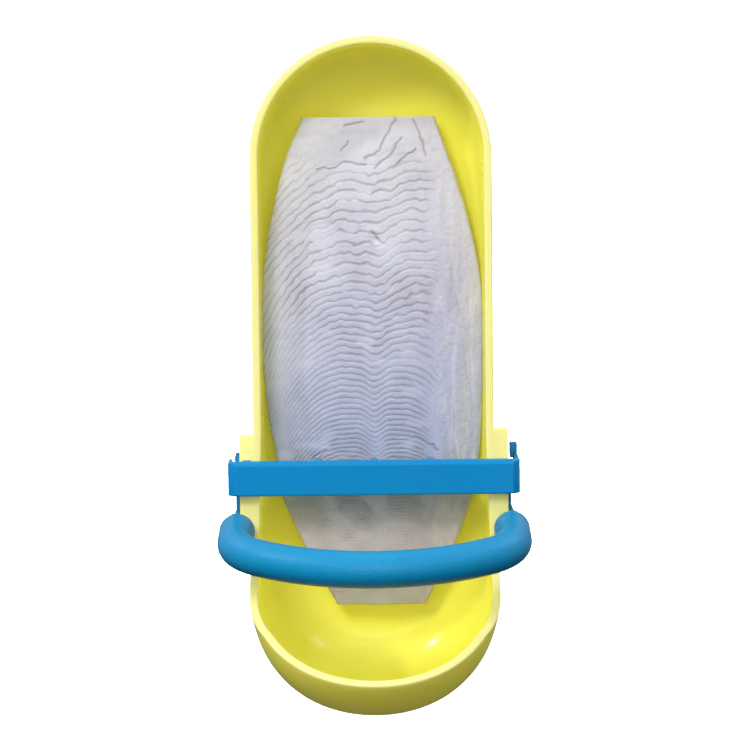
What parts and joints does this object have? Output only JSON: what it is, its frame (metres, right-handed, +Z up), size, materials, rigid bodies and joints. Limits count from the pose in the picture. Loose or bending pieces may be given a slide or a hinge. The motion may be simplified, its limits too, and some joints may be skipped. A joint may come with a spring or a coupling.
{
  "type": "cuttlebone holder",
  "caption": "Lime plastic trough that hangs on cage wires and holds a cuttlebone, with a swing-open blue bar, a bow perch and a catch bowl.",
  "frame": {"origin": "centre of the horizontal cage wire seated in the rear hook, midway along the hook", "axes": "+X to the right as a viewer faces the open front, +Y back towards the cage, +Z up as it hangs; the open front faces -Y"},
  "size_m": [0.0826, 0.0886, 0.177],
  "materials": {
    "lime_gloss": "glossy moulded lime-yellow plastic",
    "blue_satin": "satin moulded blue plastic",
    "blue_textured": "fine-textured matte blue plastic",
    "cuttlebone": "dry chalky bone with fine growth ridges",
    "steel": "zinc-plated steel"
  },
  "bodies": {
    "holder": {"shell": "lime_gloss", "cuttlebone": "cuttlebone", "hinge_pin": "steel", "hinge_pin_clip": "steel", "left_bracket": "blue_satin", "right_bracket": "blue_satin", "perch": "blue_textured", "perch_screws": "steel", "clamp_bolt": "steel"},
    "gate": {"retaining_bar": "blue_satin"},
    "clamp_jaw": {"clamp_plate": "blue_satin", "clamp_washer": "steel"},
    "nut": {"wing_nut": "lime_gloss"}
  },
  "joints": [
    {"name": "gate_swing", "type": "hinge", "parent": "holder", "child": "gate", "pos_m": [-0.0352, -0.0236, -0.057], "axis": [0, 0, -1], "range_deg": [0, 95]},
    {"name": "jaw_slide", "type": "slide", "parent": "holder", "child": "clamp_jaw", "axis": [0, 1, 0], "range_m": [0, 0.004]},
    {"name": "nut_turn", "type": "hinge", "parent": "clamp_jaw", "child": "nut", "pos_m": [0, 0.01, -0.032], "axis": [0, 1, 0], "range_deg": [0, 1440]}
  ],
  "couplings": [
    {"joint": "jaw_slide", "follows": "nut_turn", "m_per_rad": 0.00015915}
  ]
}
